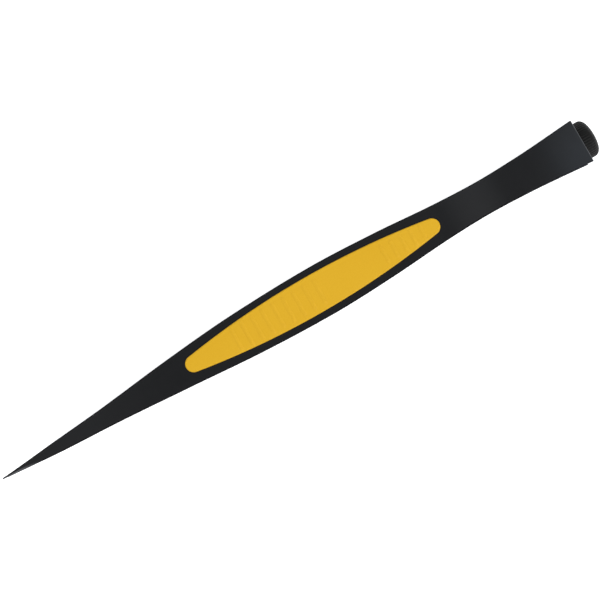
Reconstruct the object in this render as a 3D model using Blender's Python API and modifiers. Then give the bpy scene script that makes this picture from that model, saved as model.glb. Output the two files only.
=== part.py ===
"""Lighted tweezers: two spring-steel arms joined at the rear to a small button-cell light.

X runs from the arms' points (-X) to the tail cap (+X), Z is up, and the tool lies on its lower grip pad.
A station is a distance in millimetres from the arms' points. Every height and radius is in millimetres too,
measured from the light's axis, which is the tool's middle plane.
"""

import math

import bmesh
import bpy
from mathutils import Matrix

MM = 0.001

# The whole tool.
OVERALL_LENGTH = 166.0
TOUCH_GAP = 0.2             # between pieces that rest against each other
RUNNING_GAP = 0.3           # between pieces that are cut apart or move past each other

# Arms: a strip cut to a tweezers outline, then bent.
ARM_LENGTH = 162.1
ARM_THICKNESS = 1.0
POINT_THICKNESS = 0.5
POINT_TAPER_LENGTH = 40.0
HALF_WIDTHS = (             # station, half width
    (0.0, 0.12), (5.0, 0.55), (14.5, 1.39), (30.0, 2.45), (49.4, 4.20), (68.7, 5.70), (90.0, 6.30),
    (107.4, 5.63), (122.9, 4.50), (134.6, 4.10), (146.2, 4.45), (154.0, 4.98), (162.1, 5.68),
)
REAR_CORNER_RADIUS = 0.2
POINT_OFFSET = 0.98         # the points are dressed slightly to the -Y side
POINT_OFFSET_LENGTH = 64.0
PLAN_STEP = 3.0
SIDE_STEP = 2.1
CUT_REACH = 10.0            # from the light's axis, past both faces of anything it cuts

# Arms from the side: heights of the inner face.
POINT_OPENING = 4.0
GRIP_OPENING = 7.2
LIGHT_OPENING = 5.6
REAR_OPENING = 5.1
REAR_BEND_POWER = 1.5
POINT_SLOPE = 0.072
POINT_STRAIGHT_END = 37.5
GRIP_FLAT = (51.0, 123.5)
LIGHT_FLAT = (140.0, 153.5)

# The flexure: the blades turn about this station when the arms are squeezed.
FLEXURE_STATION = 129.5

# Grip pads: a lens of two arcs with rounded ends, bonded into a shallow coined recess.
PAD_CENTRE = 87.15
PAD_LENGTH = 70.1
PAD_HALF_WIDTH = 4.67
PAD_END_RADIUS = 2.06
PAD_PROUD = 0.3
PAD_RECESS = 0.4
PAD_EDGE_BEVEL = 0.18
PAD_ARC_STEPS = 24
PAD_END_STEPS = 8

# Light: a stepped barrel that holds the lamp in front and the cells behind.
BARREL_FRONT = 134.6
BARREL_STEP = 145.0
BARREL_REAR = 159.3
BARREL_FRONT_RADIUS = 3.7
BARREL_REAR_RADIUS = 4.3
BARREL_CHAMFER = 0.3
LAMP_BORE_RADIUS = 3.2
CELL_BORE_RADIUS = 3.9
CELL_BORE_FRONT = 145.5

BEZEL_FRONT = 133.6
BEZEL_FLANGE_END = 134.4
BEZEL_SPIGOT_END = 136.2
BEZEL_HOLE_RADIUS = 2.7

LAMP_FLANGE_REAR = 141.8
LAMP_FLANGE_LENGTH = 1.0
LAMP_FLANGE_RADIUS = 2.9
LAMP_RADIUS = 2.5
LAMP_LENGTH = 8.6

HOLDER_FRONT = 142.0
HOLDER_REAR = 144.2
HOLDER_RADIUS = 3.0
LEAD_SPACING = 2.54
LEAD_RADIUS = 0.25
LEAD_HOLE_RADIUS = 0.45

BOARD_FRONT = 145.7
BOARD_THICKNESS = 0.6
BOARD_RADIUS = 3.7
RESISTOR_SIZE = (0.45, 1.6, 0.8)
RESISTOR_OFFSET = 1.9

CELL_FRONT = 146.6
CELL_THICKNESS = 2.1
CELL_RADIUS = 3.4
CELL_CAP_RADIUS = 2.9
CELL_CAP_HEIGHT = 0.4
LINER_RADII = (3.55, 3.75)
LINER_STATIONS = (146.5, 153.4)

# Saddles: the blocks that join the arms to the light's barrel.
SADDLE_STATIONS = (146.0, 153.2)
SADDLE_HALF_WIDTH = 4.0
SADDLE_FOOT_HEIGHT = 2.4
SADDLE_ARCH_STEPS = 16

# Tail cap, which screws into the barrel and switches the light.
CAP_SHOULDER = 159.6
CAP_DOME_START = 163.7
CAP_RADIUS = 4.8
CAP_EDGE_BEVEL = 0.3
CAP_DOME_POWER = 0.8        # below 1, so that the dome is squarer than an ellipse
CAP_DOME_STEPS = 9
SPIGOT_FRONT = 156.0
SPIGOT_RADIUS = 3.65
SPIGOT_BORE_RADIUS = 2.95
SPIGOT_BORE_END = 158.6
RING_STATION = 158.0
RING_GROOVE_WIDTH = 0.8
RING_GROOVE_RADIUS = 3.35
RING_MAJOR_RADIUS = 3.66
RING_MINOR_RADIUS = 0.2
CONTACT_STATIONS = (158.1, 158.4)
CONTACT_RADIUS = 2.7
SPRING_STATIONS = (153.7, 157.7)
SPRING_RADII = (1.5, 2.4)
SPRING_WIRE_RADIUS = 0.17
SPRING_TURNS = 4
SPRING_POINTS_PER_TURN = 12

ROUND_STEPS = 40
SMALL_ROUND_STEPS = 24
CORNER_STEPS = 4
POINT_STEPS = 6
NOSE_STEPS = 8
SHARP_ANGLE = math.radians(30)

AXIS_HEIGHT = GRIP_OPENING + ARM_THICKNESS + PAD_PROUD


def clear_scene():
    for obj in list(bpy.data.objects):
        bpy.data.objects.remove(obj, do_unlink=True)


def new_collection(name):
    collection = bpy.data.collections.new(name)
    bpy.context.scene.collection.children.link(collection)
    return collection


def material(name, color, roughness, metallic=0.0):
    mat = bpy.data.materials.new(name)
    mat.use_nodes = True
    shader = mat.node_tree.nodes["Principled BSDF"]
    shader.inputs["Base Color"].default_value = (*color, 1.0)
    shader.inputs["Roughness"].default_value = roughness
    shader.inputs["Metallic"].default_value = metallic
    return mat


def along(station):
    """World X of a station."""
    return (station - OVERALL_LENGTH / 2) * MM


def smooth_step(start, end, value):
    t = min(1.0, max(0.0, (value - start) / (end - start)))
    return t * t * (3 - 2 * t)


def curve_through(knots, value):
    """Height at value of the smooth curve through the (place, height) knots."""
    last = len(knots) - 1
    index = 0
    while index < last - 1 and value > knots[index + 1][0]:
        index += 1

    def slope(i):
        low = max(0, i - 1)
        high = min(last, i + 1)
        return (knots[high][1] - knots[low][1]) / (knots[high][0] - knots[low][0])

    x0, y0 = knots[index]
    x1, y1 = knots[index + 1]
    span = x1 - x0
    t = (value - x0) / span
    rise = y0 * (1 + 2 * t) * (1 - t) ** 2 + y1 * t * t * (3 - 2 * t)
    return rise + span * (slope(index) * t * (1 - t) ** 2 - slope(index + 1) * t * t * (1 - t))


# The arms' shape.

def arm_half_width(station):
    return curve_through(HALF_WIDTHS, station)


def arm_centre(station):
    """Sideways place of the arm's centre line."""
    if station >= POINT_OFFSET_LENGTH:
        return 0.0
    return -POINT_OFFSET * 0.5 * (1 + math.cos(math.pi * station / POINT_OFFSET_LENGTH))


def inner_face(station):
    """Height of the arm's inner face: a straight run from the point, a bend into the flat grip,
    a fall to the flat over the light, and a slight bend inwards at the rear."""
    if station <= POINT_STRAIGHT_END:
        return POINT_OPENING + POINT_SLOPE * station
    if station < GRIP_FLAT[0]:
        start = POINT_OPENING + POINT_SLOPE * POINT_STRAIGHT_END
        span = GRIP_FLAT[0] - POINT_STRAIGHT_END
        t = (station - POINT_STRAIGHT_END) / span
        rise = GRIP_OPENING - start
        first = POINT_SLOPE * span
        return start + first * t + (3 * rise - 2 * first) * t * t + (first - 2 * rise) * t ** 3
    if station <= LIGHT_FLAT[0]:
        fall = smooth_step(GRIP_FLAT[1], LIGHT_FLAT[0], station)
        return GRIP_OPENING + (LIGHT_OPENING - GRIP_OPENING) * fall
    bend = max(0.0, station - LIGHT_FLAT[1]) / (ARM_LENGTH - LIGHT_FLAT[1])
    return LIGHT_OPENING + (REAR_OPENING - LIGHT_OPENING) * bend ** REAR_BEND_POWER


def outer_face(station):
    taper = smooth_step(0.0, POINT_TAPER_LENGTH, station)
    return inner_face(station) + POINT_THICKNESS + (ARM_THICKNESS - POINT_THICKNESS) * taper


def stations_between(start, end, step):
    count = max(1, round((end - start) / step))
    return [start + (end - start) * i / count for i in range(count + 1)]


# Building blocks.

def outline_curve(name, points, half_depth, placement, collection):
    """A filled flat outline, thickened both ways, as a curve object."""
    data = bpy.data.curves.new(name, "CURVE")
    data.dimensions = "2D"
    data.fill_mode = "BOTH"
    data.extrude = half_depth * MM
    spline = data.splines.new("POLY")
    spline.points.add(len(points) - 1)
    for point, (u, v) in zip(spline.points, points):
        point.co = (u * MM, v * MM, 0.0, 1.0)
    spline.use_cyclic_u = True
    obj = bpy.data.objects.new(name, data)
    obj.matrix_world = placement
    collection.objects.link(obj)
    return obj


def as_mesh(curve_object, name, collection):
    """The curve's evaluated shape as a closed mesh object in the same place."""
    bpy.context.view_layer.update()
    graph = bpy.context.evaluated_depsgraph_get()
    mesh = bpy.data.meshes.new_from_object(curve_object.evaluated_get(graph))
    mesh.name = name
    work = bmesh.new()
    work.from_mesh(mesh)
    bmesh.ops.remove_doubles(work, verts=work.verts, dist=0.00001)
    bmesh.ops.recalc_face_normals(work, faces=work.faces)
    work.to_mesh(mesh)
    work.free()
    obj = bpy.data.objects.new(name, mesh)
    obj.matrix_world = curve_object.matrix_world
    collection.objects.link(obj)
    bpy.data.objects.remove(curve_object, do_unlink=True)
    return obj


def outline_solid(name, points, half_depth, placement, collection):
    curve = outline_curve(name + "_outline", points, half_depth, placement, collection)
    return as_mesh(curve, name, collection)


def as_cutter(obj):
    obj.hide_render = True
    obj.display_type = "WIRE"
    return obj


def combine(obj, cutter, operation):
    modifier = obj.modifiers.new(operation.lower(), "BOOLEAN")
    modifier.operation = operation
    modifier.object = cutter
    modifier.solver = "EXACT"


def flat_placement(height):
    """Outline plane level, at a height over the floor."""
    return Matrix.Translation((0.0, 0.0, height * MM))


def side_placement():
    """Outline plane upright along X: its second axis is Z, from the light's axis."""
    return Matrix.Translation((0.0, 0.0, AXIS_HEIGHT * MM)) @ Matrix.Rotation(math.pi / 2, 4, "X")


def cross_placement(station):
    """Outline plane across the tool: its first axis is Y and its second is Z, from the light's axis."""
    turn = Matrix.Rotation(math.pi / 2, 4, "Z") @ Matrix.Rotation(math.pi / 2, 4, "X")
    return Matrix.Translation((along(station), 0.0, AXIS_HEIGHT * MM)) @ turn


def turned(name, profile, steps, mat, collection):
    """A solid of revolution about the light's axis from (station, radius) points,
    which run from the tail end down the outside to the front end, then back inside."""
    mesh = bpy.data.meshes.new(name)
    work = bmesh.new()
    verts = [work.verts.new((radius * MM, 0.0, along(station))) for station, radius in profile]
    for first, second in zip(verts, verts[1:]):
        work.edges.new((first, second))
    if profile[0][1] > 0.0:
        work.edges.new((verts[-1], verts[0]))
    work.to_mesh(mesh)
    work.free()
    mesh.materials.append(mat)
    obj = bpy.data.objects.new(name, mesh)
    obj.location = (0.0, 0.0, AXIS_HEIGHT * MM)
    obj.rotation_euler = (0.0, math.pi / 2, 0.0)
    collection.objects.link(obj)
    screw = obj.modifiers.new("turn", "SCREW")
    screw.axis = "Z"
    screw.angle = 2 * math.pi
    screw.steps = steps
    screw.render_steps = steps
    screw.use_merge_vertices = True
    screw.merge_threshold = 0.000001
    screw.use_smooth_shade = True
    return obj


def rod(name, start, end, radius, side, mat, collection):
    """A round bar along X between two stations, offset sideways."""
    bpy.ops.mesh.primitive_cylinder_add(
        vertices=SMALL_ROUND_STEPS, radius=radius * MM, depth=(end - start) * MM,
        location=(along((start + end) / 2), side * MM, AXIS_HEIGHT * MM), rotation=(0.0, math.pi / 2, 0.0))
    obj = bpy.context.object
    obj.name = name
    for owner in list(obj.users_collection):
        owner.objects.unlink(obj)
    collection.objects.link(obj)
    finish(obj, mat)
    return obj


def finish(obj, mat):
    obj.data.materials.clear()
    obj.data.materials.append(mat)
    obj.data.shade_smooth()
    obj.data.set_sharp_from_angle(angle=SHARP_ANGLE)


def empty_at(name, location, collection):
    empty = bpy.data.objects.new(name, None)
    empty.location = location
    empty.empty_display_size = 5 * MM
    collection.objects.link(empty)
    return empty


def attach(child, parent):
    """Parent a piece that is already in place to an empty."""
    child.parent = parent
    child.matrix_parent_inverse = Matrix.Translation(parent.location).inverted()


# Arms and grip pads.

def point_outline():
    """The rounded needle point."""
    radius = arm_half_width(0.0)
    centre = arm_centre(0.0)
    turns = [math.pi / 2 + math.pi * i / POINT_STEPS for i in range(1, POINT_STEPS)]
    return [(radius * (1 + math.cos(a)), centre + radius * math.sin(a)) for a in turns]


def rear_corner(side):
    """A rounded rear corner, from the side edge to the cut end."""
    half = arm_half_width(ARM_LENGTH)
    radius = REAR_CORNER_RADIUS
    angles = [math.pi / 2 * (1 - i / CORNER_STEPS) for i in range(CORNER_STEPS + 1)]
    return [(ARM_LENGTH - radius + radius * math.cos(a), side * (half - radius + radius * math.sin(a)))
            for a in angles]


def arm_plan(start, end):
    """Plan outline of the arm between two stations."""
    first = max(start, arm_half_width(0.0))
    last = min(end, ARM_LENGTH - REAR_CORNER_RADIUS)
    places = stations_between(first, last, PLAN_STEP)
    if end >= ARM_LENGTH:
        places = places[:-1]
    left = [(s, arm_centre(s) + arm_half_width(s)) for s in places]
    right = [(s, arm_centre(s) - arm_half_width(s)) for s in reversed(places)]
    points = left
    if end >= ARM_LENGTH:
        points = points + rear_corner(1) + list(reversed(rear_corner(-1)))
    points = points + right
    if start <= 0.0:
        points = points + list(reversed(point_outline()))
    return [((s - OVERALL_LENGTH / 2), y) for s, y in points]


def arm_side(start, end, up):
    """Side outline of the arm between two stations; up is 1 for the upper arm and -1 for the lower."""
    places = stations_between(start - 1.0, end + 1.0, SIDE_STEP)
    inner = [(s - OVERALL_LENGTH / 2, up * inner_face(s)) for s in places]
    outer = [(s - OVERALL_LENGTH / 2, up * outer_face(s)) for s in reversed(places)]
    return inner + outer


def arm_piece(name, start, end, up, mat, parts, cutters):
    solid = outline_solid(name, arm_plan(start, end), CUT_REACH, flat_placement(AXIS_HEIGHT), parts)
    side = outline_solid(name + "_side", arm_side(start, end, up), CUT_REACH, side_placement(), cutters)
    combine(solid, as_cutter(side), "INTERSECT")
    finish(solid, mat)
    return solid


def pad_outline(grow):
    """Lens outline of the pad, grown all round: two long arcs that run into the round ends without a kink."""
    end_centre = PAD_LENGTH / 2 - PAD_END_RADIUS
    run = end_centre ** 2 + PAD_HALF_WIDTH ** 2 - PAD_END_RADIUS ** 2
    arc = run / (2 * (PAD_HALF_WIDTH - PAD_END_RADIUS))
    arc_centre = arc - PAD_HALF_WIDTH
    reach = math.atan2(end_centre, arc_centre)
    arc_angles = [-reach + 2 * reach * i / PAD_ARC_STEPS for i in range(PAD_ARC_STEPS + 1)]
    end_angles = [reach + (math.pi - 2 * reach) * i / PAD_END_STEPS for i in range(1, PAD_END_STEPS)]
    radius = arc + grow
    end = PAD_END_RADIUS + grow
    side = [(radius * math.sin(a), radius * math.cos(a) - arc_centre) for a in arc_angles]
    cap = [(end_centre + end * math.sin(a), end * math.cos(a)) for a in end_angles]
    half_loop = side + cap
    return half_loop + [(-u, -v) for u, v in half_loop]


def pad_placement(height):
    return Matrix.Translation((along(PAD_CENTRE), 0.0, height * MM))


def grip_recess(name, up, cutters):
    """Cutter for the shallow recess in the arm's outer face."""
    face = AXIS_HEIGHT + up * (GRIP_OPENING + ARM_THICKNESS)
    return as_cutter(outline_solid(name, pad_outline(TOUCH_GAP), PAD_RECESS, pad_placement(face), cutters))


def grip_pad(name, up, mat, parts):
    low = GRIP_OPENING + ARM_THICKNESS - PAD_RECESS + TOUCH_GAP
    high = GRIP_OPENING + ARM_THICKNESS + PAD_PROUD
    height = AXIS_HEIGHT + up * (low + high) / 2
    pad = outline_solid(name, pad_outline(0.0), (high - low) / 2, pad_placement(height), parts)
    bevel = pad.modifiers.new("rounded_rim", "BEVEL")
    bevel.width = PAD_EDGE_BEVEL * MM
    bevel.segments = 2
    bevel.limit_method = "ANGLE"
    bevel.angle_limit = math.radians(50)
    finish(pad, mat)
    return pad


def build_arm(side_name, up, mats, parts, cutters):
    """One arm as its fixed root and its moving blade, with the blade's grip pad."""
    half_cut = RUNNING_GAP / 2
    arm_piece(side_name + "_arm_root", FLEXURE_STATION + half_cut, ARM_LENGTH, up,
              mats["arm"], parts, cutters)
    blade = arm_piece(side_name + "_arm_blade", 0.0, FLEXURE_STATION - half_cut, up,
                      mats["arm"], parts, cutters)
    combine(blade, grip_recess(side_name + "_recess", up, cutters), "DIFFERENCE")
    pad = grip_pad(side_name + "_grip_pad", up, mats["pad"], parts)
    middle = inner_face(FLEXURE_STATION) + ARM_THICKNESS / 2
    pivot = empty_at(side_name + "_flexure", (along(FLEXURE_STATION), 0.0, (AXIS_HEIGHT + up * middle) * MM),
                     parts)
    attach(blade, pivot)
    attach(pad, pivot)


def saddle(name, up, mat, parts):
    """Block with a flat side for the arm and a round hollow for the barrel."""
    top = LIGHT_OPENING - TOUCH_GAP
    hollow = BARREL_REAR_RADIUS + TOUCH_GAP
    reach = math.acos(SADDLE_FOOT_HEIGHT / hollow)
    angles = [reach - 2 * reach * i / SADDLE_ARCH_STEPS for i in range(SADDLE_ARCH_STEPS + 1)]
    arch = [(hollow * math.sin(a), up * hollow * math.cos(a)) for a in angles]
    foot = up * SADDLE_FOOT_HEIGHT
    box = [(-SADDLE_HALF_WIDTH, foot), (-SADDLE_HALF_WIDTH, up * top),
           (SADDLE_HALF_WIDTH, up * top), (SADDLE_HALF_WIDTH, foot)]
    start, end = SADDLE_STATIONS
    block = outline_solid(name, box + arch, (end - start) / 2, cross_placement((start + end) / 2), parts)
    finish(block, mat)


# The light.

def barrel(mat, parts):
    profile = [
        (BARREL_REAR, CELL_BORE_RADIUS), (BARREL_REAR, BARREL_REAR_RADIUS),
        (BARREL_STEP, BARREL_REAR_RADIUS),
        (BARREL_STEP - (BARREL_REAR_RADIUS - BARREL_FRONT_RADIUS), BARREL_FRONT_RADIUS),
        (BARREL_FRONT + BARREL_CHAMFER, BARREL_FRONT_RADIUS),
        (BARREL_FRONT, BARREL_FRONT_RADIUS - BARREL_CHAMFER),
        (BARREL_FRONT, LAMP_BORE_RADIUS),
        (CELL_BORE_FRONT, LAMP_BORE_RADIUS), (CELL_BORE_FRONT, CELL_BORE_RADIUS),
    ]
    turned("light_barrel", profile, ROUND_STEPS, mat, parts)


def bezel(mat, parts):
    flange = BARREL_FRONT_RADIUS - BARREL_CHAMFER / 2
    spigot = LAMP_BORE_RADIUS - TOUCH_GAP / 2
    profile = [
        (BEZEL_SPIGOT_END, BEZEL_HOLE_RADIUS), (BEZEL_SPIGOT_END, spigot), (BEZEL_FLANGE_END, spigot),
        (BEZEL_FLANGE_END, flange), (BEZEL_FRONT + BARREL_CHAMFER, flange),
        (BEZEL_FRONT, flange - BARREL_CHAMFER), (BEZEL_FRONT, BEZEL_HOLE_RADIUS),
    ]
    turned("front_bezel", profile, ROUND_STEPS, mat, parts)


def lamp(mat, parts):
    """Round-nosed lamp with a flange at its base."""
    front = LAMP_FLANGE_REAR - LAMP_LENGTH
    nose_centre = front + LAMP_RADIUS
    nose = [(nose_centre - LAMP_RADIUS * math.sin(a), LAMP_RADIUS * math.cos(a))
            for a in [math.pi / 2 * i / NOSE_STEPS for i in range(NOSE_STEPS)]]
    profile = [
        (LAMP_FLANGE_REAR, 0.0), (LAMP_FLANGE_REAR, LAMP_FLANGE_RADIUS),
        (LAMP_FLANGE_REAR - LAMP_FLANGE_LENGTH, LAMP_FLANGE_RADIUS),
        (LAMP_FLANGE_REAR - LAMP_FLANGE_LENGTH, LAMP_RADIUS),
    ] + nose + [(front, 0.0)]
    turned("lamp", profile, SMALL_ROUND_STEPS, mat, parts)


def lamp_leads(mat, parts):
    start = LAMP_FLANGE_REAR + TOUCH_GAP
    end = BOARD_FRONT - TOUCH_GAP
    for name, side in (("lamp_lead_anode", 1), ("lamp_lead_cathode", -1)):
        rod(name, start, end, LEAD_RADIUS, side * LEAD_SPACING / 2, mat, parts)


def lamp_holder(mat, parts, cutters):
    holder = rod("lamp_holder", HOLDER_FRONT, HOLDER_REAR, HOLDER_RADIUS, 0.0, mat, parts)
    for side in (1, -1):
        hole = rod("lead_hole", HOLDER_FRONT - 1, HOLDER_REAR + 1, LEAD_HOLE_RADIUS, side * LEAD_SPACING / 2,
                   mat, cutters)
        combine(holder, as_cutter(hole), "DIFFERENCE")


def contact_board(mat, resistor_mat, parts):
    rod("contact_board", BOARD_FRONT, BOARD_FRONT + BOARD_THICKNESS, BOARD_RADIUS, 0.0, mat, parts)
    thickness, width, height = RESISTOR_SIZE
    station = BOARD_FRONT - TOUCH_GAP - thickness / 2
    bpy.ops.mesh.primitive_cube_add(size=1.0)
    resistor = bpy.context.object
    resistor.name = "series_resistor"
    resistor.data.transform(Matrix.Diagonal((thickness * MM, width * MM, height * MM, 1.0)))
    resistor.location = (along(station), 0.0, (AXIS_HEIGHT + RESISTOR_OFFSET) * MM)
    for owner in list(resistor.users_collection):
        owner.objects.unlink(resistor)
    parts.objects.link(resistor)
    finish(resistor, resistor_mat)


def button_cells(mat, parts):
    """Three cells in line, each with its narrower cap towards the tail."""
    for index, name in enumerate(("button_cell_front", "button_cell_middle", "button_cell_rear")):
        front = CELL_FRONT + index * (CELL_THICKNESS + TOUCH_GAP)
        rear = front + CELL_THICKNESS
        shoulder = rear - CELL_CAP_HEIGHT
        profile = [
            (rear, 0.0), (rear, CELL_CAP_RADIUS), (shoulder, CELL_CAP_RADIUS), (shoulder, CELL_RADIUS),
            (front, CELL_RADIUS), (front, 0.0),
        ]
        turned(name, profile, ROUND_STEPS, mat, parts)


def cell_liner(mat, parts):
    front, rear = LINER_STATIONS
    inner, outer = LINER_RADII
    profile = [(rear, inner), (rear, outer), (front, outer), (front, inner)]
    turned("cell_liner", profile, ROUND_STEPS, mat, parts)


def tail_cap(mat, parts):
    """Domed cap with a hollow spigot that screws into the barrel."""
    groove_front = RING_STATION - RING_GROOVE_WIDTH / 2
    groove_rear = RING_STATION + RING_GROOVE_WIDTH / 2
    dome_height = OVERALL_LENGTH - CAP_DOME_START
    turns = [math.pi / 2 * i / CAP_DOME_STEPS for i in range(1, CAP_DOME_STEPS + 1)]
    dome = [(CAP_DOME_START + dome_height * max(0.0, math.cos(a)) ** CAP_DOME_POWER,
             CAP_RADIUS * math.sin(a) ** CAP_DOME_POWER) for a in turns]
    profile = [(OVERALL_LENGTH, 0.0)] + dome + [
        (CAP_SHOULDER + CAP_EDGE_BEVEL, CAP_RADIUS), (CAP_SHOULDER, CAP_RADIUS - CAP_EDGE_BEVEL),
        (CAP_SHOULDER, SPIGOT_RADIUS), (groove_rear, SPIGOT_RADIUS), (groove_rear, RING_GROOVE_RADIUS),
        (groove_front, RING_GROOVE_RADIUS), (groove_front, SPIGOT_RADIUS),
        (SPIGOT_FRONT, SPIGOT_RADIUS), (SPIGOT_FRONT, SPIGOT_BORE_RADIUS),
        (SPIGOT_BORE_END, SPIGOT_BORE_RADIUS), (SPIGOT_BORE_END, 0.0),
    ]
    turned("tail_cap", profile, ROUND_STEPS, mat, parts)


def tail_o_ring(mat, parts):
    bpy.ops.mesh.primitive_torus_add(
        major_segments=ROUND_STEPS, minor_segments=8, major_radius=RING_MAJOR_RADIUS * MM,
        minor_radius=RING_MINOR_RADIUS * MM, location=(along(RING_STATION), 0.0, AXIS_HEIGHT * MM),
        rotation=(0.0, math.pi / 2, 0.0))
    ring = bpy.context.object
    ring.name = "tail_o_ring"
    for owner in list(ring.users_collection):
        owner.objects.unlink(ring)
    parts.objects.link(ring)
    finish(ring, mat)


def tail_contact(mat, parts):
    rod("tail_contact", CONTACT_STATIONS[0], CONTACT_STATIONS[1], CONTACT_RADIUS, 0.0, mat, parts)


def tail_spring(mat, parts):
    """Conical coil between the rear cell and the tail contact."""
    start, end = SPRING_STATIONS
    small, large = SPRING_RADII
    count = SPRING_TURNS * SPRING_POINTS_PER_TURN
    data = bpy.data.curves.new("tail_spring", "CURVE")
    data.dimensions = "3D"
    data.bevel_depth = SPRING_WIRE_RADIUS * MM
    data.bevel_resolution = 2
    data.use_fill_caps = True
    spline = data.splines.new("POLY")
    spline.points.add(count)
    for index, point in enumerate(spline.points):
        part = index / count
        angle = 2 * math.pi * index / SPRING_POINTS_PER_TURN
        radius = small + (large - small) * part
        station = start + SPRING_WIRE_RADIUS + (end - start - 2 * SPRING_WIRE_RADIUS) * part
        point.co = (along(station), radius * MM * math.cos(angle), radius * MM * math.sin(angle), 1.0)
    spring = bpy.data.objects.new("tail_spring", data)
    spring.location = (0.0, 0.0, AXIS_HEIGHT * MM)
    data.materials.append(mat)
    parts.objects.link(spring)


def make_materials():
    return {
        "arm": material("black_coated_steel", (0.018, 0.019, 0.021), 0.45, 0.3),
        "pad": material("yellow_soft_grip", (0.73, 0.44, 0.024), 0.55),
        "saddle": material("zinc_saddle", (0.30, 0.30, 0.31), 0.4, 1.0),
        "barrel": material("black_anodised_aluminium", (0.03, 0.03, 0.033), 0.35, 0.7),
        "cap": material("black_moulded_cap", (0.014, 0.014, 0.014), 0.5),
        "lamp": material("clear_lamp", (0.85, 0.87, 0.88), 0.08),
        "lead": material("tinned_lead", (0.72, 0.72, 0.72), 0.3, 1.0),
        "holder": material("white_holder", (0.75, 0.75, 0.72), 0.5),
        "board": material("green_board", (0.03, 0.19, 0.07), 0.5),
        "resistor": material("dark_resistor", (0.03, 0.03, 0.03), 0.5),
        "cell": material("bright_cell", (0.70, 0.69, 0.67), 0.25, 1.0),
        "liner": material("clear_liner", (0.80, 0.78, 0.70), 0.4),
        "contact": material("brass_contact", (0.78, 0.57, 0.25), 0.3, 1.0),
        "spring": material("spring_wire", (0.62, 0.62, 0.64), 0.25, 1.0),
        "ring": material("rubber_ring", (0.01, 0.01, 0.01), 0.7),
    }


def build_light(mats, parts, cutters):
    barrel(mats["barrel"], parts)
    bezel(mats["barrel"], parts)
    lamp(mats["lamp"], parts)
    lamp_leads(mats["lead"], parts)
    lamp_holder(mats["holder"], parts, cutters)
    contact_board(mats["board"], mats["resistor"], parts)
    button_cells(mats["cell"], parts)
    cell_liner(mats["liner"], parts)
    tail_cap(mats["cap"], parts)
    tail_o_ring(mats["ring"], parts)
    tail_contact(mats["contact"], parts)
    tail_spring(mats["spring"], parts)


def main():
    clear_scene()
    parts = new_collection("lighted_tweezers")
    cutters = new_collection("cutters")
    mats = make_materials()
    for side_name, up in (("upper", 1), ("lower", -1)):
        build_arm(side_name, up, mats, parts, cutters)
        saddle(side_name + "_saddle", up, mats["saddle"], parts)
    build_light(mats, parts, cutters)


main()
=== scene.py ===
"""Looks of the lighted tweezers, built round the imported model.

Stations are distances in millimetres from the arms' points. Heights and radii are in millimetres from the
light's axis, as the arms' shape is easiest to state that way. at() turns them into the frame's metres.
"""
import math

import bmesh
import bpy
from mathutils import Matrix, Vector


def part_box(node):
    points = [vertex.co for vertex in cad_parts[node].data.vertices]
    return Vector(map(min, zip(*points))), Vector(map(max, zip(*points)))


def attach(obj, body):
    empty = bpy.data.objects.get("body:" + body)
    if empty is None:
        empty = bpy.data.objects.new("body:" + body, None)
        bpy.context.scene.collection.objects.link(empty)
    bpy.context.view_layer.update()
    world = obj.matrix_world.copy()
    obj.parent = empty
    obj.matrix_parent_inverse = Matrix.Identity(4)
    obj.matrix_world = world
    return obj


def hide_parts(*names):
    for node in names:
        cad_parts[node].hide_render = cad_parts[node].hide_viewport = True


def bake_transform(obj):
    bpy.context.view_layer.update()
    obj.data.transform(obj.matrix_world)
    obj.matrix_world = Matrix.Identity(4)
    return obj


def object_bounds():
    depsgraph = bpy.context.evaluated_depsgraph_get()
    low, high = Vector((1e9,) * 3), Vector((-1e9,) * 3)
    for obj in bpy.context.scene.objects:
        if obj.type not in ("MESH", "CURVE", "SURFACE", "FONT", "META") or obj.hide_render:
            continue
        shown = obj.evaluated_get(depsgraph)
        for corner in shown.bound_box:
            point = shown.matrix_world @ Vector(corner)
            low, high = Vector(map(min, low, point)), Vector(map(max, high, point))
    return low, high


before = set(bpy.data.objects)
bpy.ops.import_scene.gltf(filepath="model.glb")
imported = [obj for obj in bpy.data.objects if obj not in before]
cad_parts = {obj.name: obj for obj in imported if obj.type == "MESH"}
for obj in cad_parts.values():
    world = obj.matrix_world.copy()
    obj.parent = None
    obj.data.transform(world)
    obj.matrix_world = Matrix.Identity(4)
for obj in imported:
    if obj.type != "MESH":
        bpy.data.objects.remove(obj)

CAD_LOW, CAD_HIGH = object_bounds()
MM = 0.001

# Places that come from the frame.
POINT_X = CAD_LOW.x
AXIS_Z = sum(corner.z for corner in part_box("light_barrel")) / 2


def stations_of(node):
    """A node's first and last station."""
    low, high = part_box(node)
    return (low.x - POINT_X) / MM, (high.x - POINT_X) / MM


ARM_LENGTH = stations_of("upper_arm_root")[1]
PAD_ENDS = stations_of("upper_grip_pad")
PAD_MIDDLE = sum(PAD_ENDS) / 2
PAD_TOP = (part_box("upper_grip_pad")[1].z - AXIS_Z) / MM
PAD_HALF_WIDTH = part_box("upper_grip_pad")[1].y / MM

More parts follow.
